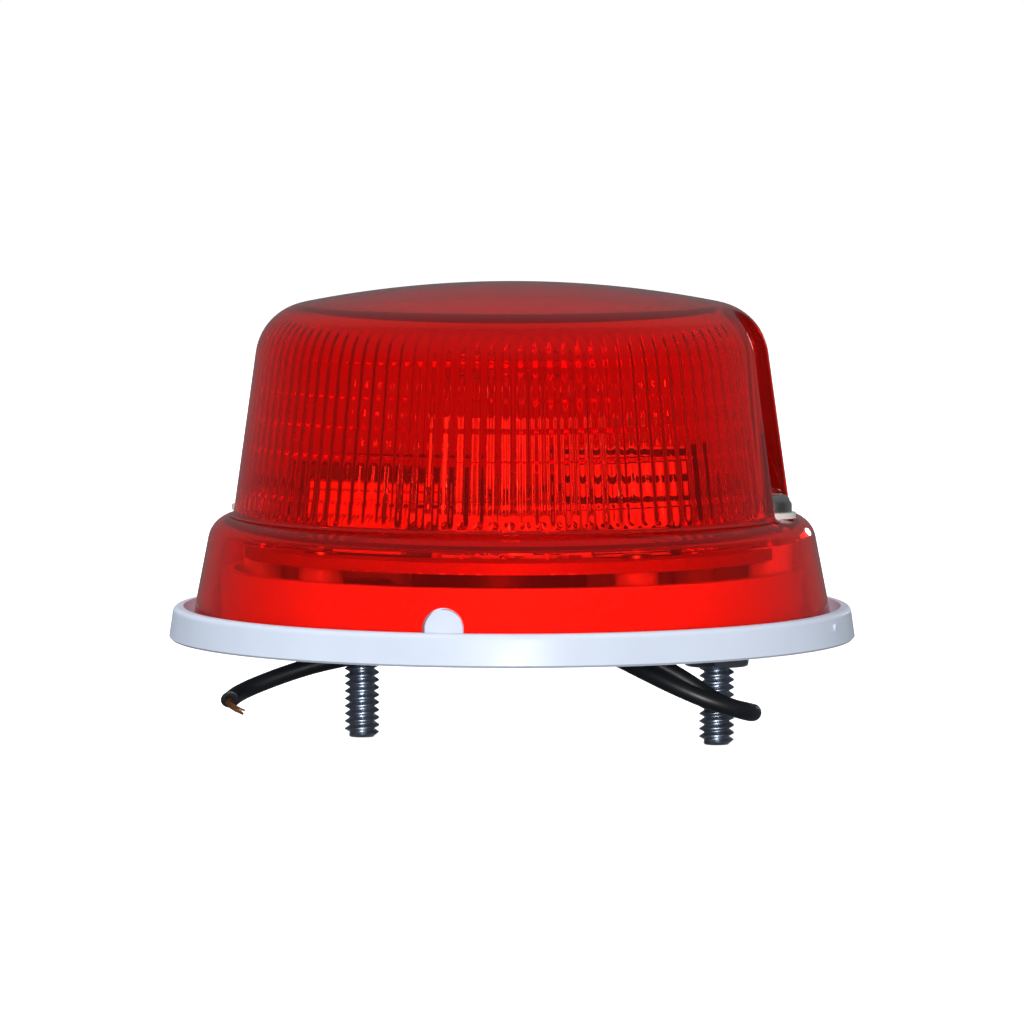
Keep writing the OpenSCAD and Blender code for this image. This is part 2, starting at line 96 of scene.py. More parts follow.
class LensSizes(bpy.types.PropertyGroup):
    """Sizes and colour of the lens."""

    wall: length("Wall", "Thickness of the lens", 2.2)
    skirt_height: length("Skirt height", "Height of the skirt, just short of the washers above it", 14.49)
    shoulder: length("Shoulder", "How far the dome stands in from the foot of the skirt", 5.7)
    skirt_draft: slope("Skirt draft", "How far the skirt leans inwards", 11)
    dome_draft: slope("Dome draft", "How far the dome leans inwards", 8)
    shoulder_fillet: length("Shoulder fillet", "Rounding between the skirt and the shoulder", 3.8)
    corner_fillet: length("Corner fillet", "Rounding between the shoulder and the dome", 0.6)
    crown_fillet: length("Crown fillet", "Rounding between the dome and the crown", 8)
    crown_radius: length("Crown radius", "Radius of the crown", 150)
    channel_width: length("Channel width", "Width of the channels that the lens screws stand in", 9.6)
    channel_edge: length("Channel edge", "Rounding of the edges of the channels", 0.8)
    notch_width: length("Notch width", "Width of the notch that drops over the key", 5.8)
    notch_top: length("Notch top", "Height of the top of the notch", 7.7)
    pad_width: length("Pad width", "Width of the tubes that rest on the base's bosses", 6)
    pad_foot: length("Pad foot", "Height of the foot of those tubes", 13.7)
    screw_hole: length("Screw hole", "Diameter of the screw holes", 3.9)
    flutes: IntProperty(
        name="Flutes", description="Number of flutes inside the dome", default=108, min=24, step=4
    )
    flute_depth: length("Flute depth", "How far each flute stands out", 0.34)
    flute_foot: length("Flute foot", "Height where the flutes begin", 17.6)
    flute_top: length("Flute top", "Height where the flutes end", 43.5)
    colour: paint("Colour", "Colour that the lens lets through", (0.93, 0.012, 0.004))
    haze: share("Haze", "How milky the lens is", 0.05)


class MetalSizes(bpy.types.PropertyGroup):
    """Threads and finishes of the screws, studs and nuts."""

    stud_pitch: length("Stud pitch", "Distance from one thread to the next on a stud", 1.058)
    screw_pitch: length("Screw pitch", "Distance from one thread to the next on a lens screw", 0.794)
    nut_turn: slope("Nut turn", "How the nuts are turned, seen from above", 8)
    nut_flats: length("Nut flats", "Distance across the flats of a nut", 8.73)
    head_flats: length("Head flats", "Distance across the flats of a stud's head", 7.94)
    trigger_width: length("Trigger wire", "Diameter of the wire round the flash tube", 0.6)
    zinc: paint("Zinc", "Colour of the zinc plating", (0.50, 0.56, 0.66))
    steel: paint("Steel", "Colour of the lens screws", (0.62, 0.62, 0.60))
    copper: paint("Copper", "Colour of the bare strands", (0.72, 0.36, 0.17))


class BodySizes(bpy.types.PropertyGroup):
    """Colours of the base, the leads and what is under the lens."""

    lead_width: length("Lead width", "Outside diameter of a lead", 2.4)
    strand_width: length("Strand width", "Diameter of one copper strand", 0.3)
    strands: IntProperty(name="Strands", description="Number of copper strands in a lead", default=9, min=3)
    plastic: paint("Plastic", "Colour of the base", (0.74, 0.82, 0.96))
    insulation: paint("Insulation", "Colour of the leads", (0.010, 0.011, 0.014))
    board: paint("Board", "Colour of the circuit board", (0.36, 0.16, 0.06))


class StudioSizes(bpy.types.PropertyGroup):
    """The camera, the lights and the floor."""

    azimuth: slope("Azimuth", "How far the camera stands round from the front", 12.2)
    elevation: slope("Elevation", "How far the camera looks down", 4.3)
    distance: length("Distance", "How far the camera stands off", 1200)
    view_width: length("View width", "Width of the view at the strobe", 143.3)
    aim_height: length("Aim height", "Height that the camera looks at", 17.5)
    floor_gap: length("Floor gap", "Space under the studs", 0.4)
    flash: share("Flash", "Strength of the lamp beside the camera", 9.0, 1000)
    key: share("Key", "Strength of the soft light from the left", 3.5, 1000)
    fill: share("Fill", "Strength of the soft light from the right", 2.2, 1000)
    top: share("Top", "Strength of the soft light from above", 2.5, 1000)
    back: share("Back", "Strength of the soft light from behind", 2.5, 1000)
    rim: share("Rim", "Strength of the light from behind, on the right", 0.25, 1000)


# --- materials ---


class Value:
    """A node's output. Sums written with it add Math nodes."""

    def __init__(self, nodes, socket):
        self.nodes = nodes
        self.socket = socket

    def maths(self, operation, *values):
        """Adds a Math node of that operation on these values."""
        return self.nodes.add("ShaderNodeMath", {"operation": operation}, dict(enumerate(values)))

    def __add__(self, other):
        return self.maths("ADD", self, other)

    def __sub__(self, other):
        return self.maths("SUBTRACT", self, other)

    def __rsub__(self, other):
        return self.maths("SUBTRACT", other, self)

    def __mul__(self, other):
        return self.maths("MULTIPLY", self, other)

    def __gt__(self, other):
        return self.maths("GREATER_THAN", self, other)

    def __mod__(self, other):
        return self.maths("FLOORED_MODULO", self, other)

    __radd__ = __add__
    __rmul__ = __mul__

    def between(self, low, high):
        """0 below low, 1 above high, and smooth between them."""
        ranged = {"interpolation_type": "SMOOTHSTEP"}
        sockets = {"Value": self, "From Min": low, "From Max": high}
        return self.nodes.add("ShaderNodeMapRange", ranged, sockets)

    def axes(self):
        """The X, Y and Z of a vector."""
        split = self.nodes.add("ShaderNodeSeparateXYZ", {}, {"Vector": self}).socket.node
        return [Value(self.nodes, socket) for socket in split.outputs]


class Nodes:
    """Adds nodes to a node tree."""

    def __init__(self, tree):
        self.tree = tree
        tree.nodes.clear()

    def add(self, kind, settings, sockets, output=0):
        """Adds a node, with its settings first and then its sockets' values or links."""
        node = self.tree.nodes.new(kind)
        for name, value in settings.items():
            if name == "stops":
                self.set_stops(node.color_ramp, value)
            else:
                setattr(node, name, value)
        for name, value in sockets.items():
            if isinstance(value, Value):
                self.tree.links.new(value.socket, node.inputs[name])
            else:
                node.inputs[name].default_value = value
        return Value(self, node.outputs[output]) if len(node.outputs) else None

    @staticmethod
    def set_stops(ramp, stops):
        """Gives a colour ramp its stops, each a place and a colour."""
        while len(ramp.elements) < len(stops):
            ramp.elements.new(1)
        for element, (place, colour) in zip(ramp.elements, stops):
            element.position = place
            element.color = (*colour, 1)

    def mix(self, factor, first, second):
        """One colour turning into another."""
        colours = [c if isinstance(c, Value) else (*c, 1) for c in (first, second)]
        sockets = {0: factor, 6: colours[0], 7: colours[1]}
        return self.add("ShaderNodeMix", {"data_type": "RGBA"}, sockets, output=2)


class Finish(Nodes):
    """A material in the making."""

    def __init__(self, name):
        self.material = bpy.data.materials.new(name)
        self.material.use_nodes = True
        super().__init__(self.material.node_tree)

    def place(self):
        """Where a point of the surface is, in metres, in the piece's own frame."""
        return self.add("ShaderNodeTexCoord", {}, {}, output="Object")

    def noise(self, size, detail=2.0, stretch=None):
        """Soft noise whose spots are about that many millimetres wide."""
        place = self.place()
        if stretch:
            place = self.add("ShaderNodeVectorMath", {"operation": "MULTIPLY"}, {0: place, 1: stretch})
        sockets = {"Vector": place, "Scale": 1 / (size * MM), "Detail": detail}
        return self.add("ShaderNodeTexNoise", {}, sockets)

    def bump(self, height, depth):
        """Relief of that depth in millimetres."""
        return self.add("ShaderNodeBump", {}, {"Height": height, "Distance": depth * MM})

    def surface(self, sockets):
        """Ends the material with its shader."""
        shader = self.add("ShaderNodeBsdfPrincipled", {}, sockets)
        self.add("ShaderNodeOutputMaterial", {}, {"Surface": shader})
        return self.material


def darker(colour, factor):
    """The colour, made darker or lighter."""
    return tuple(min(1, part * factor) for part in colour)


def moulded(name, colour, roughness=0.38, grain=0.4, depth=0.006, mottle=0.12):
    """Moulded plastic, rubber or ceramic: faint cloudiness, fine grain and a few duller patches."""
    finish = Finish(name)
    clouds = finish.noise(6.0, 3.0)
    skin = finish.noise(grain, 4.0)
    base = finish.mix(clouds, darker(colour, 1 - mottle), darker(colour, 1 + mottle / 2))
    return finish.surface({
        "Base Color": base,
        "Roughness": clouds.between(0.3, 0.8) * 0.12 + (roughness - 0.06),
        "Normal": finish.bump(skin, depth),
    })


def metal(name, colour, roughness=0.32, grain=0.25, stretch=None, stain=(0.3, 0.3, 0.32), stains=0.5):
    """Plated or bare metal: fine grain, brighter and duller patches, and a little staining."""
    finish = Finish(name)
    grains = finish.noise(grain, 4.0, stretch)
    patches = finish.noise(2.6, 4.0)
    worn = patches.between(0.45, 0.75)
    base = finish.mix(worn * stains, colour, stain)
    return finish.surface({
        "Base Color": base,
        "Metallic": 1.0,
        "Roughness": grains * 0.12 + worn * 0.14 + (roughness - 0.08),
        "Normal": finish.bump(grains, 0.008),
    })


def clear(name, colour, ior, roughness=0.02, wave=0.0, haze=0.0):
    """Glass or clear plastic, with hair scratches and a little haze."""
    finish = Finish(name)
    scratches = finish.noise(0.35, 5.0, (1, 1, 0.12))
    sockets = {
        "Base Color": (*colour, 1),
        "Roughness": scratches.between(0.62, 0.75) * 0.1 + roughness,
        "IOR": ior,
        "Transmission Weight": 1.0 - haze,
    }
    if wave:
        sockets["Normal"] = finish.bump(finish.noise(5.0, 2.0), wave)
    return finish.surface(sockets)


def board_finish(name, colour):
    """Circuit board: a brown laminate with tinned tracks in rows on its underside."""
    finish = Finish(name)
    x, _, z = finish.place().axes()
    weave = finish.noise(0.5, 3.0)
    bend = finish.noise(9.0, 1.0)
    rows = ((x + bend * (3 * MM)) % (2.54 * MM)) > (1.9 * MM)
    runs = (finish.noise(8.0, 0.0, (1, 0.35, 1)) > 0.52) * rows
    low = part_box("circuit_board")[0].z
    underside = 1 - z.between(low + 0.1 * MM, low + 0.3 * MM)
    tracks = runs * underside
    laminate = finish.mix(weave, darker(colour, 0.8), darker(colour, 1.15))
    return finish.surface({
        "Base Color": finish.mix(tracks, laminate, (0.72, 0.70, 0.66)),
        "Metallic": tracks,
        "Roughness": weave * 0.15 + 0.35,
        "Normal": finish.bump(tracks + weave * 0.15, 0.04),
    })


def sleeve_finish(name):
    """Shrink sleeve with a pale stripe of dashes, and a bare metal top."""
    finish = Finish(name)
    low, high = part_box("storage_capacitor")
    x, y, z = finish.place().axes()
    middle = (low + high) / 2
    from_axis = finish.add("ShaderNodeCombineXYZ", {}, {"X": x - middle.x, "Y": y - middle.y})
    reach = finish.add("ShaderNodeVectorMath", {"operation": "LENGTH"}, {0: from_axis}, output="Value")
    lid = z.between(high.z - 0.12 * MM, high.z - 0.04 * MM) * (1 - reach.between(4.9 * MM, 5.1 * MM))
    stripe = (y - middle.y).between(-3.4 * MM, -3.2 * MM)
    dashes = (1 - stripe) * ((z % (3.2 * MM)) > (1.1 * MM)) * (1 - lid)
    sleeve = finish.mix(dashes, (0.012, 0.016, 0.045), (0.62, 0.64, 0.66))
    return finish.surface({
        "Base Color": finish.mix(lid, sleeve, (0.78, 0.78, 0.77)),
        "Metallic": lid,
        "Roughness": 0.3,
        "Normal": finish.bump(finish.noise(1.6, 2.0), 0.05),
    })


def banded_finish(name, colour, bands, node, axis):
    """A small lacquered part with coloured bands round it, along X or Y."""
    finish = Finish(name)
    place = finish.place().axes()[axis]
    low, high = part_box(node)
    middle = (low[axis] + high[axis]) / 2
    base = colour
    for offset, band in bands:
        away = place - (middle + offset * MM)
        near = away.maths("ABSOLUTE", away)
        base = finish.mix(1 - near.between(0.25 * MM, 0.33 * MM), base, band)
    return finish.surface({
        "Base Color": base if isinstance(base, Value) else (*base, 1),
        "Roughness": 0.28,
        "Normal": finish.bump(finish.noise(1.0, 2.0), 0.03),
    })


def wound(name, colour, pitch, metallic=0.0):
    """Wire or tape wound in level turns."""
    finish = Finish(name)
    z = finish.place().axes()[2]
    turns = z % (pitch * MM)
    gap = turns.between(0, 0.2 * pitch * MM) - turns.between(0.8 * pitch * MM, pitch * MM)
    clouds = finish.noise(2.0, 3.0)
    top = finish.mix(clouds, darker(colour, 0.85), colour)
    return finish.surface({
        "Base Color": finish.mix(gap, darker(colour, 0.35), top),
        "Metallic": metallic,
        "Roughness": clouds * 0.2 + 0.3,
        "Normal": finish.bump(gap, 0.12),
    })


# --- meshes ---


def closed_mesh(name, points, faces):
    """A mesh with its seams welded, its gaps filled and its faces turned outwards."""
    mesh = bpy.data.meshes.new(name)
    mesh.from_pydata([tuple(p) for p in points], [], faces)
    shape = bmesh.new()
    shape.from_mesh(mesh)
    bmesh.ops.remove_doubles(shape, verts=shape.verts, dist=WELD)
    bmesh.ops.dissolve_degenerate(shape, edges=shape.edges, dist=WELD)
    open_edges = [edge for edge in shape.edges if edge.is_boundary]
    if open_edges:
        bmesh.ops.holes_fill(shape, edges=open_edges)
    bmesh.ops.recalc_face_normals(shape, faces=shape.faces)
    shape.to_mesh(mesh)
    shape.free()
    return mesh


def shade(piece, sharp=SHARP):
    """Makes a piece smooth except at its sharp edges."""
    piece.data.shade_smooth()
    piece.data.set_sharp_from_angle(angle=math.radians(sharp))


def build(name, points, faces, material, slot, body, replaced=(), sharp=SHARP):
    """Makes a closed piece from points and faces, and puts it on its body."""
    piece = bpy.data.objects.new(name, closed_mesh(name, points, faces))
    shade(piece, sharp)
    piece.data.materials.append(material)
    bpy.context.scene.collection.objects.link(piece)
    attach(piece, body)
    if replaced:
        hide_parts(*replaced)
    return piece


def skin(rings, start=0, closed=False):
    """Points and faces of a surface through rings that all have the same number of points."""
    count = len(rings[0])
    points = [point for ring in rings for point in ring]
    faces = []
    last = len(rings) if closed else len(rings) - 1
    for i in range(last):
        here, there = i * count, (i + 1) % len(rings) * count
        for j in range(count):
            k = (j + 1) % count
            faces.append([start + here + j, start + here + k, start + there + k, start + there + j])
    return points, faces


def join(*shapes):
    """Points and faces of several closed surfaces taken together."""
    points, faces = [], []
    for more_points, more_faces in shapes:
        faces += [[index + len(points) for index in face] for face in more_faces]
        points += more_points
    return points, faces


def cut(piece, points, faces, operation="DIFFERENCE"):
    """Cuts a closed surface out of a piece, or adds it."""
    tool = bpy.data.objects.new("tool", closed_mesh("tool", points, faces))
    bpy.context.scene.collection.objects.link(tool)
    modifier = piece.modifiers.new("cut", "BOOLEAN")
    modifier.operation = operation
    modifier.solver = "MANIFOLD"
    modifier.object = tool
    bpy.context.view_layer.update()
    graph = bpy.context.evaluated_depsgraph_get()
    result = bpy.data.meshes.new_from_object(piece.evaluated_get(graph))
    if not result.polygons:
        raise RuntimeError(f"the cut left nothing of {piece.name}")
    piece.modifiers.clear()
    piece.data = result
    bpy.data.objects.remove(tool)


def polar(centre, reach, angle, height):
    """A point that far from an upright line, at that angle and height."""
    return Vector((centre[0] + reach * math.cos(angle), centre[1] + reach * math.sin(angle), height))


def circle(centre, radius, height, count, corners=None, turn=0.0):
    """A level ring of points: round, or with straight sides whose middles lie at the radius."""
    ring = []
    for i in range(count):
        angle = i * FULL_TURN / count
        reach = radius
        if corners:
            side = FULL_TURN / corners
            reach = radius / math.cos((angle + side / 2) % side - side / 2)
        ring.append(polar(centre, reach, angle + turn, height))
    return ring


def lathe(centre, section, count=48):
    """Rings of a turned shape from its half section, a list of radius and height."""
    return [circle(centre, radius, height, count) for radius, height in section]


def arc(middle, radius, start, end, steps):
    """Points of an arc in a half section, from one angle to another."""
    turns = [start + (end - start) * i / steps for i in range(steps + 1)]
    return [(middle[0] + radius * math.cos(a), middle[1] + radius * math.sin(a)) for a in turns]


def straight(start, end, steps):
    """Points of a straight line in a half section, short of its end."""
    return [
        (start[0] + (end[0] - start[0]) * i / steps, start[1] + (end[1] - start[1]) * i / steps)
        for i in range(steps)
    ]


def post(centre, radius, low, high):
    """A closed upright round post."""
    return skin(lathe(centre, [(0, low), (radius, low), (radius, high), (0, high)]))


def smooth_route(route, steps=6):
    """A smooth line through the points of a route given in millimetres, in metres."""
    points = [Vector(p) * MM for p in route]
    points = [2 * points[0] - points[1], *points, 2 * points[-1] - points[-2]]
    line = []
    for a, b, c, d in zip(points, points[1:], points[2:], points[3:]):
        for i in range(steps):
            t = i / steps
            square, cube = 2 * a - 5 * b + 4 * c - d, 3 * b - a - 3 * c + d
            line.append(((2 * b) + (c - a) * t + square * t**2 + cube * t**3) / 2)
    return [*line, points[-2]]


def route_length(line):
    """The length of a line of points."""
    return sum((b - a).length for a, b in zip(line, line[1:]))


def sweep(line, radius, sides=20, end_cut=None):
    """Rings of a tube along a line, turning no more than the line does. end_cut slants its last ring."""
    rings = []
    ahead = (line[1] - line[0]).normalized()
    across = ahead.orthogonal().normalized()
    for i, point in enumerate(line):
        before, after = line[max(i - 1, 0)], line[min(i + 1, len(line) - 1)]
        turned = (after - before).normalized()
        across = (ahead.rotation_difference(turned) @ across).normalized()
        ahead = turned
        up = ahead.cross(across)
        width = radius(i / (len(line) - 1)) if callable(radius) else radius
        ring = []
        for k in range(sides):
            angle = k * FULL_TURN / sides
            spot = width * (math.cos(angle) * across + math.sin(angle) * up)
            if end_cut and i == len(line) - 1:
                spot -= ahead * spot.dot(end_cut)
            ring.append(point + spot)
        rings.append(ring)
    return rings


def wire(name, routes, width, material, slot, body, replaced):
    """A piece of one or more plain round wires."""
    shapes = [skin(sweep(smooth_route(route), width / 2, 16)) for route in routes]
    return build(name, *join(*(capped(shape, 16) for shape in shapes)), material, slot, body, replaced)


def capped(shape, count):
    """Closes both ends of a surface made of rings."""
    points, faces = shape
    return points, [*faces, list(range(count)), list(range(len(points) - count, len(points)))]


THREAD_DEPTH = 0.6134  # of a pitch
# One turn of the thread: how far along the pitch, and how deep
THREAD_TOOTH = ((0.0, 1), (0.13, 1), (0.45, 0), (0.58, 0))


def threaded(centre, foot, top, radius, pitch, head, columns=48):
    """A shaft with a real helical thread, level at its foot, with a head's rings at its top."""
    depth = THREAD_DEPTH * pitch
    tooth = [(part, radius - depth * hollow) for part, hollow in THREAD_TOOTH]
    tip = radius - depth - 0.1 * MM
    turns = int((top - foot) / pitch) + 3
    points = []
    for turn in range(-1, turns):
        for part, reach in tooth:
            for j in range(columns):
                angle = j * FULL_TURN / columns
                height = foot + (turn + part + j / columns) * pitch
                if height <= foot:
                    height, reach_here = foot, tip
                elif height >= top:
                    height, reach_here = top, radius - depth
                else:
                    run_in = tip + (height - foot) * 1.1
                    run_out = radius - depth + (top - height) * 1.2
                    reach_here = min(reach, run_in, run_out)
                points.append(polar(centre, reach_here, angle, height))
    rows = len(points) // columns
    for ring in head:
        points += ring
    all_rows = len(points) // columns

    def corner(row, j):
        """The index of a point, following the helix past the end of a row."""
        if j == columns:
            row, j = (min(row + len(tooth), rows - 1) if row < rows else row), 0
        return row * columns + j

    faces = []
    for row in range(all_rows - 1):
        for j in range(columns):
            faces.append([corner(row, j), corner(row, j + 1), corner(row + 1, j + 1), corner(row + 1, j)])
    return points, faces


def hexagon_block(centre, low, high, flats, turn, count=72):
    """Rings of a six-sided block with chamfered corners, from its foot's rim to its lid's rim."""
    rim = flats / 2 * 0.97
    lower, upper = [], []
    sides = circle(centre, flats / 2, 0, count, corners=6, turn=turn)
    for spot in sides:
        reach = math.hypot(spot.x - centre[0], spot.y - centre[1])
        drop = max(0, reach - rim) * math.tan(math.radians(30))
        lower.append(Vector((spot.x, spot.y, low + drop)))
        upper.append(Vector((spot.x, spot.y, high - drop)))
    foot = circle(centre, rim, low, count, turn=turn)
    lid = circle(centre, rim, high, count, turn=turn)
    return [foot, lower, upper, lid]


# --- the lens ---


# Foot, height and depth of each shallow step round the inside of the dome, in millimetres
LEDGES = ((20.6, 6.0, 0.20), (27.0, 2.6, 0.18), (31.0, 2.6, 0.18), (35.0, 2.6, 0.18), (40.2, 2.6, 0.18))
# Points from a channel's middle to the open wall: along the channel, round its edge, and on
CHANNEL_STEPS, EDGE_STEPS, BRIDGE_STEPS = 16, 6, 3


class LensShape:
    """The lens's section, worked out from its sizes and the frame."""

    def __init__(self, sizes):
        low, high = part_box("lens")
        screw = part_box("lens_screw_right")
        self.s = sizes
        self.foot = low.z
        self.shoulder = low.z + sizes.skirt_height
        self.crown = high.z
        self.skirt_radius = high.x
        self.dome_radius = high.x - sizes.shoulder
        self.screw_radius = (screw[0].x + screw[1].x) / 2
        self.open_angle = 4 * FULL_TURN / sizes.flutes

    def skirt(self, inset):
        """The skirt's half section from its foot to the end of its fillet."""
        lean = self.s.skirt_draft
        reach = self.skirt_radius * math.cos(lean) + self.foot * math.sin(lean) - inset
        fillet = self.s.shoulder_fillet - inset
        height = self.shoulder - self.s.shoulder_fillet
        middle = (reach - fillet - height * math.sin(lean)) / math.cos(lean)
        start = (reach - self.foot * math.sin(lean)) / math.cos(lean)
        bend = arc((middle, height), fillet, lean, math.pi / 2, 10)
        return straight((start, self.foot), bend[0], 6) + bend

    def dome(self, inset, height):
        """The dome's half section from that height to its crown."""
        lean = self.s.dome_draft
        reach = self.dome_radius * math.cos(lean) + self.shoulder * math.sin(lean) - inset
        sphere_z = self.crown - self.s.crown_radius
        sphere = self.s.crown_radius - inset
        fillet = self.s.crown_fillet - inset
        a = reach - fillet - sphere_z * math.sin(lean)
        b = math.sqrt((sphere - fillet) ** 2 - a * a)
        middle = (
            a * math.cos(lean) - b * math.sin(lean),
            sphere_z + a * math.sin(lean) + b * math.cos(lean),
        )
        edge = math.atan2(middle[1] - sphere_z, middle[0])
        bend = arc(middle, fillet, lean, edge, 14)
        crown = arc((0, sphere_z), sphere, edge, math.pi / 2, 18)
        start = (reach - height * math.sin(lean)) / math.cos(lean)
        return straight((start, height), bend[0], 72) + bend + crown[1:]

    def quarter(self, radius, width, rounding):
        """A level quarter of a wall with a channel of that half width, from the channel's middle."""
        centre = self.screw_radius
        spread = math.asin(width / centre)
        core = max(radius - rounding, HAIR / 100)
        turn = spread + math.asin(min(rounding / core, 1))
        on_side = core * math.cos(turn - spread) >= centre * math.cos(spread)
        if not on_side:
            cosine = (core**2 + centre**2 - (width + rounding) ** 2) / (2 * core * centre)
            turn = math.acos(max(-1, min(cosine, 1)))
        middle = Vector((core * math.cos(turn), core * math.sin(turn)))
        tangent = Vector((centre * math.cos(spread) ** 2, centre * math.cos(spread) * math.sin(spread)))
        if on_side:
            contact = Vector((math.cos(spread), math.sin(spread))) * core * math.cos(turn - spread)
            sweep_angle = math.pi / 2 - spread
        else:
            outward = middle - Vector((centre, 0))
            contact = Vector((centre, 0)) + outward.normalized() * width
            sweep_angle = math.pi - math.atan2(outward.y, outward.x)
        side = (contact - tangent).length if on_side else 0
        total = width * sweep_angle + side
        points = []
        if turn == 0:
            points = [Vector((radius, 0))] * (CHANNEL_STEPS + EDGE_STEPS)
        else:
            for i in range(CHANNEL_STEPS):
                run = total * i / CHANNEL_STEPS
                if run <= width * sweep_angle:
                    angle = math.pi - run / width
                    points.append(Vector((centre + width * math.cos(angle), width * math.sin(angle))))
                else:
                    points.append(tangent.lerp(contact, (run - width * sweep_angle) / side))
            start = math.atan2(contact.y - middle.y, contact.x - middle.x)
            for i in range(EDGE_STEPS):
                angle = start + (turn - start) * i / EDGE_STEPS
                points.append(middle + rounding * Vector((math.cos(angle), math.sin(angle))))
        for i in range(BRIDGE_STEPS):
            angle = turn + (self.open_angle - turn) * i / BRIDGE_STEPS
            points.append(Vector((radius * math.cos(angle), radius * math.sin(angle))))
        return points

    def open_wall(self, radius, flute):
        """The rest of the quarter, with flutes of that depth."""
        steps = 8 * (self.s.flutes // 4 - 4)
        points = []
        for i in range(steps + 1):
            angle = self.open_angle + (math.pi / 2 - self.open_angle) * i / steps
            reach = radius - flute * math.sin(self.s.flutes * angle / 2) ** 2
            points.append(Vector((reach * math.cos(angle), reach * math.sin(angle))))
        return points

    def ring(self, radius, height, width=None, rounding=0.0, flute=0.0):
        """A whole level ring. Without a channel width it is round, with its points spread evenly."""
        wall = self.open_wall(radius, flute)
        if width:
            start = self.quarter(radius, width, rounding)
        else:
            count = CHANNEL_STEPS + EDGE_STEPS + BRIDGE_STEPS
            turns = [self.open_angle * i / count for i in range(count)]
            start = [Vector((radius * math.cos(a), radius * math.sin(a))) for a in turns]
        points = start + wall
        last = len(points) - 1
        spots = [(p.x, p.y) for p in points[:last]]
        spots += [(-points[i].x, points[i].y) for i in range(last, 0, -1)]
        spots += [(-p.x, -p.y) for p in points[:last]]
        spots += [(points[i].x, -points[i].y) for i in range(last, 0, -1)]
        return [Vector((x, y, height)) for x, y in spots]

    def outside(self):
        """Rings from the foot to the crown, outside."""
        s = self.s
        rings = [self.ring(radius, height) for radius, height in self.skirt(0)]
        width = s.channel_width / 2
        for i in range(6):
            angle = math.pi / 2 * i / 5
            inward = s.corner_fillet * (1 - math.sin(angle))
            height = self.shoulder + s.corner_fillet * (1 - math.cos(angle))
            radius = self.dome_radius - (height - self.shoulder) * math.tan(s.dome_draft) + inward
            rings.append(self.ring(radius, height, width - inward, s.channel_edge))
        for radius, height in self.dome(0, self.shoulder):
            if height > self.shoulder + s.corner_fillet:
                rings.append(self.ring(max(radius, HAIR), height, width, s.channel_edge))
        return rings

    def ledge(self, height):
        """How far the inside of the dome steps inwards at that height, in a row of shallow ring steps."""
        for foot, tall, depth in LEDGES:
            run = (height / MM - foot) / tall
            if 0 <= run < 1:
                return depth * MM * (1 - run) ** 2
        return 0

    def inside(self):
        """Rings from the foot to the crown, inside, with flutes and ring steps."""
        s = self.s
        rings = [self.ring(radius, height) for radius, height in self.skirt(s.wall)]
        width = s.channel_width / 2 + s.wall
        for radius, height in self.dome(s.wall, self.shoulder - s.wall):
            rise, fall = (height - s.flute_foot) / MM, (s.flute_top - height) / (1.5 * MM)
            flute = s.flute_depth * min(max(rise, 0), max(fall, 0), 1)
            reach = max(radius - self.ledge(height), HAIR)
            rings.append(self.ring(reach, height, width, s.channel_edge, flute))
        return rings


def make_lens(sizes):
    """The lens: one closed shell with flutes, channels, screw tubes and holes, and the key notch."""
    shape = LensShape(sizes)
    rings = list(reversed(shape.outside())) + shape.inside()
    material = clear("red_lens", sizes.colour, 1.5, roughness=0.015, wave=0.004, haze=sizes.haze)
    lens = build("lens_shell", *skin(rings), material, "red_lens", "lens", ["lens"], sharp=40)
    tubes, holes = [], []
    for side in SIDES.values():
        centre = (side * shape.screw_radius, 0)
        tubes.append(post(centre, sizes.pad_width / 2, sizes.pad_foot, shape.shoulder - sizes.wall / 2))
        holes.append(post(centre, sizes.screw_hole / 2, 0, shape.shoulder + 5 * MM))
    cut(lens, *join(*tubes), operation="UNION")
    half = sizes.notch_width / 2
    arch = [(half, 0)] + arc((0, sizes.notch_top - half), half, 0, math.pi, 24) + [(-half, 0)]
    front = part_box("lens")[0].y
    notch = [[Vector((x, y, z)) for x, z in arch] for y in (front - 12 * MM, front + 5.6 * MM)]
    cut(lens, *join(*holes, capped(skin(notch), len(arch))))
    shade(lens, 40)
    lens.visible_shadow = False


# --- leads ---

LEAD_ROUTES = {
    "left": [
        (-0.4, 14.3, 3.2), (-0.5, 14.3, 2.4), (-1, 14.3, 1.2), (-1.9, 14.3, 0), (-3.7, 14.2, -1.4),
        (-6.6, 13.7, -2.3), (-10.5, 12.7, -2.5), (-15, 11.2, -2.6), (-19.5, 9.4, -3),
        (-22.8, 7.9, -3.6), (-25.9, 6.7, -4.2), (-29.8, 5.3, -5.1), (-33.6, 3.6, -6.3),
        (-37.2, 1.4, -7.7), (-39.2, -0.8, -8.7), (-39.9, -3.3, -9.4),
    ],
    "right": [
        (0.6, 11.7, 3.2), (0.7, 11.7, 2.4), (1.2, 11.7, 1.2), (2, 11.5, 0), (3.6, 10.8, -1.3),
        (5.8, 8.7, -2.1), (7.6, 5, -2.2), (9.6, 0, -2), (11.8, -5, -1.7),
        (14.4, -10, -1.3), (17.7, -14, -1.35), (21.7, -16, -2.8), (26.2, -17, -4.7),
        (30.6, -16.9, -6.5), (34.2, -15.5, -7.8), (36.1, -13.2, -8.6), (36.3, -10.5, -8.9),
        (34.9, -8.3, -8.9), (32.6, -7.3, -8.5), (30, -7.2, -7.4), (27.2, -7.6, -5.5),
        (23.8, -8.3, -3.4), (20.4, -8.9, -1.9), (17.4, -8.8, -1.4),
    ],
}
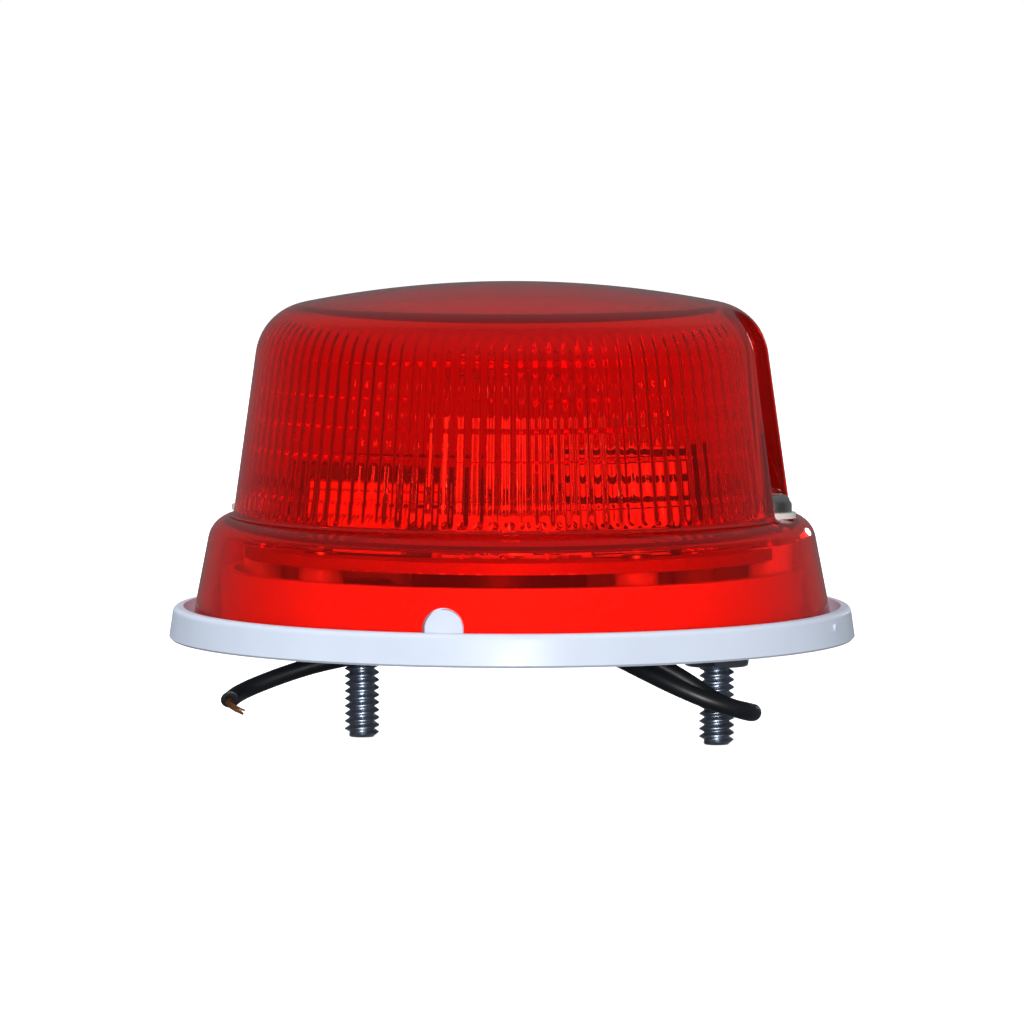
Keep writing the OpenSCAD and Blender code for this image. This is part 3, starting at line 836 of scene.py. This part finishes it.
COPPER_ROUTES = {
    "left": [(-39.95, -3.4, -9.4), (-39.8, -4.1, -9.9), (-38.7, -4.4, -10.6), (-37, -4.5, -11.4)],
    "right": [(17.3, -8.8, -1.4), (16, -8.7, -1.4), (14.9, -8.4, -1.3)],
}
INNER_ROUTES = [
    [(-0.4, 14.3, 3.5), (-0.4, 14.4, 5.2), (-1.2, 15, 7.5), (-1.9, 15.6, 9.6), (-2, 15.8, 11.1),
     (-2, 15.8, 11.6)],
    [(0.6, 11.7, 3.5), (0.7, 11.6, 5.2), (1.7, 11, 7.5), (2.8, 10.4, 9.6), (3, 10.2, 11.1),
     (3, 10.2, 11.6)],
]
TRIGGER_ROUTE = [(-11, 8, 22), (-9.5, 6.5, 24.2), (-5.6, 2.8, 27.2), (-4, 2.5, 30.2), (-2.5, 2.5, 32.2)]


LEAD_CUTS = {"left": Vector((0.55, 0.25, 0.1)), "right": None}  # how the cut end slants
BORE = 0.5  # width of the copper core over the width of a lead


def frayed_strands(route, strands, width, seed):
    """Thin copper strands that leave the cut end together and splay apart."""
    chance = random.Random(seed)
    line = smooth_route(route, 5)
    shapes = []
    for strand in range(strands):
        angle = strand * FULL_TURN / strands
        lay = Vector((math.cos(angle), 0.3 * math.sin(angle), math.sin(angle)))
        splay = Vector([chance.uniform(-1, 1) for _ in range(3)])
        reach = chance.uniform(0.72, 1.0)
        count = max(4, int(len(line) * reach))
        path = []
        for i, point in enumerate(line[:count]):
            run = i / (len(line) - 1)
            path.append(point + lay * (0.36 - 0.1 * run) * MM + splay * run**2 * 0.42 * MM)
        shapes.append(capped(skin(sweep(path, width / 2, 8)), 8))
    return join(*shapes)


def make_leads(sizes, copper):
    """The two leads below the base with their bare ends, and the wires inside."""
    jacket = moulded("lead_insulation", sizes.insulation, 0.42, grain=0.5, depth=0.01, mottle=0.3)
    strand_finish = metal("copper", copper, roughness=0.38, stain=(0.20, 0.09, 0.04), stains=0.8)
    for side, route in LEAD_ROUTES.items():
        line = smooth_route(route)
        outer = sweep(line, sizes.lead_width / 2, 24, LEAD_CUTS[side])
        end = line[-1]
        outward = (line[-1] - line[-2]).normalized()
        rim = [end + (point - end) * 0.93 + outward * 0.04 * MM for point in outer[-1]]
        mouth = [end + (point - end) * BORE for point in outer[-1]]
        bottom = [point - outward * 0.9 * MM for point in mouth]
        foot = [line[0] + (point - line[0]) * BORE for point in outer[0]]
        tube = skin([foot, *outer, rim, mouth, bottom])
        node = f"lead_{side}"
        lead = build(f"{node}_jacket", *tube, jacket, "lead_insulation", "base", [node])
        bare = frayed_strands(COPPER_ROUTES[side], sizes.strands, sizes.strand_width, seed=len(side))
        node = f"copper_end_{side}"
        strands = build(f"lead_{side}_strands", *bare, strand_finish, "copper", "base", [node], sharp=60)
        route_length(line)
    width = sizes.lead_width
    wire("inner_wires", INNER_ROUTES, width, jacket, "lead_insulation", "base", ["inner_leads"])


# --- screws, studs and nuts ---


LENS_SCREW_RADIUS = 1.75 * MM
STUD_RADIUS = 2.415 * MM
STUD_HEAD = 3 * MM
NUT_BORE, NUT_GROOVE, NUT_SINK = 2.47 * MM, 2.75 * MM, 0.35 * MM


def cross_recess(centre, top, reach, depth):
    """A tapered cross to cut into a screw's head."""
    arms = []
    for turn in (0, math.pi / 2):
        rings = []
        for height, long_half, short_half in (
            (top - depth, reach * 0.35, reach * 0.13), (top + 0.2 * MM, reach, reach * 0.2)
        ):
            level = Matrix.Rotation(turn, 3, "Z")
            shift = Vector((centre[0], centre[1], height))
            rings.append([shift + level @ Vector((x * long_half, y * short_half, 0)) for x, y in SQUARE])
        arms.append(capped(skin(rings), 4))
    return arms


def pan_head(centre, seat, top, radius, columns):
    """Rings of a pan head, from its seat's rim to the middle of its top."""
    tall = top - seat
    rounding = tall * 0.62
    bend = arc((radius - rounding, seat + tall * 0.38), rounding, 0, math.pi / 2, 8)
    rim = [(radius - 0.1 * MM, seat), (radius, seat + 0.1 * MM)]
    return lathe(centre, [*rim, *bend, (radius * 0.3, top), (HAIR, top)], columns)


def make_lens_screws(sizes):
    """The two pan head screws that hold the lens."""
    steel = metal("screw_steel", sizes.steel, roughness=0.3, stain=(0.32, 0.30, 0.27))
    for side in SIDES:
        node = f"lens_screw_{side}"
        low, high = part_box(node)
        centre = ((low.x + high.x) / 2, 0)
        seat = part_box(f"lens_screw_washer_{side}")[1].z
        head = pan_head(centre, seat, high.z, (high.x - low.x) / 2, 48)
        shape = threaded(centre, low.z, seat, LENS_SCREW_RADIUS, sizes.screw_pitch, head)
        screw = build(f"{node}_body", *shape, steel, "screw_steel", node, [node])
        for arm in cross_recess(centre, high.z, 1.5 * MM, 1.3 * MM):
            cut(screw, *arm)
        shade(screw)


def make_studs(sizes):
    """The two threaded studs, with their hexagon heads inside the base."""
    zinc = metal("zinc_steel", sizes.zinc, 0.34, grain=0.3, stain=(0.17, 0.18, 0.2), stains=0.75)
    for side in SIDES:
        node = f"mounting_bolt_{side}"
        low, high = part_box(node)
        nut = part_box(f"mounting_nut_{side}")
        centre = ((nut[0].x + nut[1].x) / 2, 0)
        seat = high.z - STUD_HEAD
        head = hexagon_block(centre, seat, high.z, sizes.head_flats, math.radians(30))
        shape = threaded(centre, low.z, seat, STUD_RADIUS, sizes.stud_pitch, head, columns=72)
        build(f"{node}_body", *shape, zinc, "zinc_steel", "base", [node])
        make_nut(f"mounting_nut_{side}", centre, sizes, zinc)


def make_nut(node, centre, sizes, zinc):
    """A hexagon nut with chamfered corners and a countersunk, threaded bore."""
    low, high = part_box(node)
    block = hexagon_block(centre, low.z, high.z, sizes.nut_flats, sizes.nut_turn)
    count = len(block[0])
    turns = int((high.z - low.z - 2 * NUT_SINK) / (sizes.stud_pitch / 2))
    inside = [(NUT_BORE + NUT_SINK, high.z)]
    for i in range(turns + 1):
        reach = NUT_GROOVE if i % 2 else NUT_BORE
        inside.append((reach, high.z - NUT_SINK - i * sizes.stud_pitch / 2))
    inside.append((NUT_BORE + NUT_SINK, low.z))
    rings = block + lathe(centre, inside, count)
    build(f"{node}_body", *skin(rings, closed=True), zinc, "zinc_steel", node, [node], sharp=28)


# --- the rest ---


def dress(node, material):
    """Gives a CAD node its finish."""
    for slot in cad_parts[node].material_slots:
        slot.material = material


# Plain moulded parts: finish, colour, roughness, width of the grain and its depth
MOULDED = {
    "lens_gasket": ("gasket_rubber", (0.55, 0.55, 0.53), 0.7, 0.3, 0.03),
    "tube_socket": ("white_ceramic", (0.8, 0.79, 0.76), 0.25, 0.3, 0.006),
    "inverter_core": ("ferrite", (0.035, 0.035, 0.04), 0.5, 0.2, 0.02),
    "switching_transistor": ("black_epoxy", (0.02, 0.02, 0.022), 0.45, 0.2, 0.02),
    "diodes": ("diode_epoxy", (0.02, 0.02, 0.02), 0.35, 0.3, 0.006),
    "film_capacitor": ("film_capacitor_dip", (0.48, 0.10, 0.03), 0.22, 1.2, 0.05),
    "piezo_sounder": ("black_plastic", (0.018, 0.018, 0.02), 0.4, 0.25, 0.01),
    "cable_grommet": ("black_rubber", (0.015, 0.015, 0.016), 0.6, 0.25, 0.03),
}
# Where each coloured band of a resistor lies from its middle, in millimetres
RESISTOR_BANDS = (
    (-1.6, (0.25, 0.08, 0.02)), (-0.6, (0.02, 0.02, 0.02)),
    (0.4, (0.5, 0.06, 0.03)), (1.7, (0.6, 0.42, 0.08)),
)


def dress_moulded(*nodes):
    """Gives plain moulded CAD nodes their finishes."""
    for node in nodes:
        dress(node, moulded(*MOULDED[node]))


# --- the studio ---


def softbox(name, at, aim, size, strength, tint, mirrored):
    """A round soft light that faces a point. One that isn't mirrored shows in no gloss."""
    lamp = bpy.data.lights.new(name, "AREA")
    lamp.shape = "DISK"
    lamp.size = size
    lamp.energy = strength
    lamp.color = tint
    light = bpy.data.objects.new(name, lamp)
    bpy.context.scene.collection.objects.link(light)
    light.location = at
    light.rotation_euler = (Vector(aim) - Vector(at)).to_track_quat("-Z", "Y").to_euler()
    light.visible_camera = False
    light.visible_glossy = light.visible_transmission = mirrored


# Each soft light: towards the camera, to the right and up from the aim, in metres, then its
# size, its colour and whether gloss mirrors it
LAMPS = {
    "key": (0.3, -0.75, 0.35, 0.6, (0.92, 0.96, 1), False),
    "fill": (0.25, 0.8, 0.2, 0.5, (0.95, 0.97, 1), False),
    "rim": (-0.9, 0.38, 0.17, 0.12, (1, 1, 1), True),
    "back": (-0.7, -0.3, 0.5, 0.5, (1, 1, 1), False),
    "top": (0.1, 0, 0.9, 0.8, (1, 1, 1), False),
}
FLASH_SIZE = 0.16
FLOOR_REACH = 4.0


def make_studio(studio):
    """The camera, the lights, the white floor and what the lens mirrors."""
    scene = bpy.context.scene
    scene.view_settings.view_transform = "Standard"
    aim = Vector((0, 0, studio.aim_height))
    level = math.cos(studio.elevation)
    toward = Vector((
        math.sin(studio.azimuth) * level, -math.cos(studio.azimuth) * level, math.sin(studio.elevation)
    ))
    camera = bpy.data.cameras.new("camera")
    camera.lens = camera.sensor_width * studio.distance / studio.view_width
    camera.clip_end = 50
    viewer = bpy.data.objects.new("camera", camera)
    scene.collection.objects.link(viewer)
    viewer.location = aim + toward * studio.distance
    viewer.rotation_euler = (-toward).to_track_quat("-Z", "Y").to_euler()
    scene.camera = viewer

    right = Vector((math.cos(studio.azimuth), math.sin(studio.azimuth), 0))
    up = right.cross(-toward)
    beside = aim + toward * studio.distance * 0.98 + up * 0.02
    softbox("flash", beside, aim, FLASH_SIZE, studio.flash, (1, 1, 1), True)
    for name, (ahead, aside, above, size, tint, mirrored) in LAMPS.items():
        at = aim + toward * ahead + right * aside + up * above
        softbox(name, at, aim, size, getattr(studio, name), tint, mirrored)

    floor_mesh = bpy.data.meshes.new("floor")
    corners = [(x * FLOOR_REACH, y * FLOOR_REACH, 0) for x, y in SQUARE]
    floor_mesh.from_pydata(corners, [], [(0, 1, 2, 3)])
    paper = Finish("floor")
    floor_mesh.materials.append(paper.surface({
        "Base Color": paper.mix(paper.noise(120, 2), (0.93, 0.93, 0.93), (0.97, 0.97, 0.97)),
        "Roughness": 0.9,
        "Emission Color": (1, 1, 1, 1),
        "Emission Strength": 0.9,
    }))
    floor = bpy.data.objects.new("floor", floor_mesh)
    scene.collection.objects.link(floor)
    floor.location.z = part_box("mounting_bolt_left")[0].z - studio.floor_gap
    floor.visible_diffuse = floor.visible_glossy = floor.visible_transmission = False

    world = bpy.data.worlds.new("studio")
    world.use_nodes = True
    nodes = Nodes(world.node_tree)
    direction = nodes.add("ShaderNodeTexCoord", {}, {}, output="Generated")
    _, y, z = direction.axes()
    # The light behind the strobe shines through the lens, and is dimmer where gloss mirrors it
    through = nodes.add("ShaderNodeLightPath", {}, {}, output="Is Transmission Ray")
    behind = y.between(-0.1, 0.9) * (through * 0.34 + 0.1) + z.between(0.2, 1.0) * 0.12 + 0.05
    around = nodes.add("ShaderNodeBackground", {}, {"Color": (0.94, 0.96, 1, 1), "Strength": behind})
    seen = nodes.add("ShaderNodeBackground", {}, {"Color": (1, 1, 1, 1), "Strength": 1.0})
    straight = nodes.add("ShaderNodeLightPath", {}, {}, output="Is Camera Ray")
    mixed = nodes.add("ShaderNodeMixShader", {}, {0: straight, 1: around, 2: seen})
    nodes.add("ShaderNodeOutputWorld", {}, {"Surface": mixed})
    scene.world = world


# --- operators and panel ---


class STROBE_OT_studio(bpy.types.Operator):
    """Set up the camera, the lights and the floor"""

    bl_idname = "strobe.studio"
    bl_label = "Studio"

    def execute(self, context):
        make_studio(context.scene.strobe_studio)
        return {"FINISHED"}


class STROBE_OT_leads(bpy.types.Operator):
    """Make the two leads, their bare copper ends and the wires inside"""

    bl_idname = "strobe.leads"
    bl_label = "Leads"

    def execute(self, context):
        make_leads(context.scene.strobe_body, context.scene.strobe_metal.copper)
        return {"FINISHED"}


class STROBE_OT_lens(bpy.types.Operator):
    """Make the fluted lens"""

    bl_idname = "strobe.lens"
    bl_label = "Lens"

    def execute(self, context):
        make_lens(context.scene.strobe_lens)
        return {"FINISHED"}


class STROBE_OT_lens_screws(bpy.types.Operator):
    """Make the screws that hold the lens"""

    bl_idname = "strobe.lens_screws"
    bl_label = "Lens screws"

    def execute(self, context):
        make_lens_screws(context.scene.strobe_metal)
        return {"FINISHED"}


class STROBE_OT_studs(bpy.types.Operator):
    """Make the threaded studs and their nuts"""

    bl_idname = "strobe.studs"
    bl_label = "Studs and nuts"

    def execute(self, context):
        make_studs(context.scene.strobe_metal)
        return {"FINISHED"}


class STROBE_OT_base(bpy.types.Operator):
    """Finish the base and the lens gasket"""

    bl_idname = "strobe.base"
    bl_label = "Base"

    def execute(self, context):
        plastic = context.scene.strobe_body.plastic
        dress("base", moulded("white_plastic", plastic, 0.42, 0.35, 0.004, mottle=0.05))
        dress_moulded("lens_gasket")
        return {"FINISHED"}


class STROBE_OT_board(bpy.types.Operator):
    """Finish the circuit board and its screws"""

    bl_idname = "strobe.board"
    bl_label = "Circuit board"

    def execute(self, context):
        dress("circuit_board", board_finish("board_laminate", context.scene.strobe_body.board))
        dress("board_screws", metal("board_screw_steel", context.scene.strobe_metal.steel, roughness=0.3))
        return {"FINISHED"}


class STROBE_OT_flash_tube(bpy.types.Operator):
    """Make the flash tube's trigger wire, and finish the tube, its socket and its coil"""

    bl_idname = "strobe.flash_tube"
    bl_label = "Flash tube"

    def execute(self, context):
        metals = context.scene.strobe_metal
        dress("flash_tube", clear("tube_glass", (0.96, 0.98, 0.98), 1.47, roughness=0.0))
        dress("tube_electrodes", metal("electrode_metal", (0.86, 0.84, 0.8), roughness=0.2))
        dress("trigger_coil", wound("coil_varnish", (0.42, 0.12, 0.04), 0.32, metallic=0.6))
        dress_moulded("tube_socket")
        tinned = metal("bare_wire", darker(metals.steel, 1.1), roughness=0.3)
        routes, width = [TRIGGER_ROUTE], metals.trigger_width
        wire("trigger_lead", routes, width, tinned, "bare_wire", "base", ["trigger_wire"])
        return {"FINISHED"}


class STROBE_OT_power_parts(bpy.types.Operator):
    """Finish the parts on the board that charge the flash"""

    bl_idname = "strobe.power_parts"
    bl_label = "Parts on the board"

    def execute(self, context):
        dress("storage_capacitor", sleeve_finish("capacitor_sleeve"))
        dress("inverter_winding", wound("winding_tape", (0.75, 0.46, 0.05), 1.6))
        dress("heat_sink", metal("sheet_aluminium", (0.78, 0.79, 0.8), 0.35, stretch=(1, 1, 0.05)))
        lacquer = banded_finish("resistor_lacquer", (0.62, 0.45, 0.26), RESISTOR_BANDS, "resistors", 0)
        dress("resistors", lacquer)
        dress_moulded("inverter_core", "switching_transistor", "diodes", "film_capacitor")
        return {"FINISHED"}


class STROBE_OT_washers(bpy.types.Operator):
    """Finish the washers under the lens screws and the nuts"""

    bl_idname = "strobe.washers"
    bl_label = "Washers"

    def execute(self, context):
        nylon = moulded("nylon", (0.72, 0.71, 0.68), roughness=0.45, grain=0.5)
        plating = context.scene.strobe_metal.zinc
        zinc = metal("zinc_washers", plating, roughness=0.36, stain=(0.18, 0.19, 0.21), stains=0.7)
        for side in SIDES:
            dress(f"lens_screw_washer_{side}", nylon)
            dress(f"nut_washer_{side}", zinc)
        return {"FINISHED"}


class STROBE_OT_sounder(bpy.types.Operator):
    """Finish the sounder and the cable hole's collar"""

    bl_idname = "strobe.sounder"
    bl_label = "Sounder and cable collar"

    def execute(self, context):
        dress_moulded("piezo_sounder", "cable_grommet")
        return {"FINISHED"}


OPERATORS = (
    STROBE_OT_studio,
    STROBE_OT_leads,
    STROBE_OT_lens,
    STROBE_OT_lens_screws,
    STROBE_OT_studs,
    STROBE_OT_base,
    STROBE_OT_board,
    STROBE_OT_flash_tube,
    STROBE_OT_power_parts,
    STROBE_OT_washers,
    STROBE_OT_sounder,
)


class STROBE_PT_panel(bpy.types.Panel):
    """Lists the pieces of the strobe"""

    bl_label = "Beacon strobe"
    bl_space_type = "VIEW_3D"
    bl_region_type = "UI"
    bl_category = "Strobe"

    def draw(self, context):
        for operator in OPERATORS:
            self.layout.operator(operator.bl_idname)


GROUPS = {
    "strobe_lens": LensSizes,
    "strobe_metal": MetalSizes,
    "strobe_body": BodySizes,
    "strobe_studio": StudioSizes,
}


def register():
    """Registers the properties, the operators and the panel."""
    for name, group in GROUPS.items():
        bpy.utils.register_class(group)
        setattr(bpy.types.Scene, name, PointerProperty(type=group))
    for operator in OPERATORS:
        bpy.utils.register_class(operator)
    bpy.utils.register_class(STROBE_PT_panel)


def unregister():
    """Undoes register."""
    bpy.utils.unregister_class(STROBE_PT_panel)
    for operator in reversed(OPERATORS):
        bpy.utils.unregister_class(operator)
    for name, group in GROUPS.items():
        delattr(bpy.types.Scene, name)
        bpy.utils.unregister_class(group)


def main():
    """Makes the strobe and its studio."""
    register()
    for operator in OPERATORS:
        group, name = operator.bl_idname.split(".")
        getattr(getattr(bpy.ops, group), name)()
    bpy.context.view_layer.update()


if __name__ == "__main__":
    main()
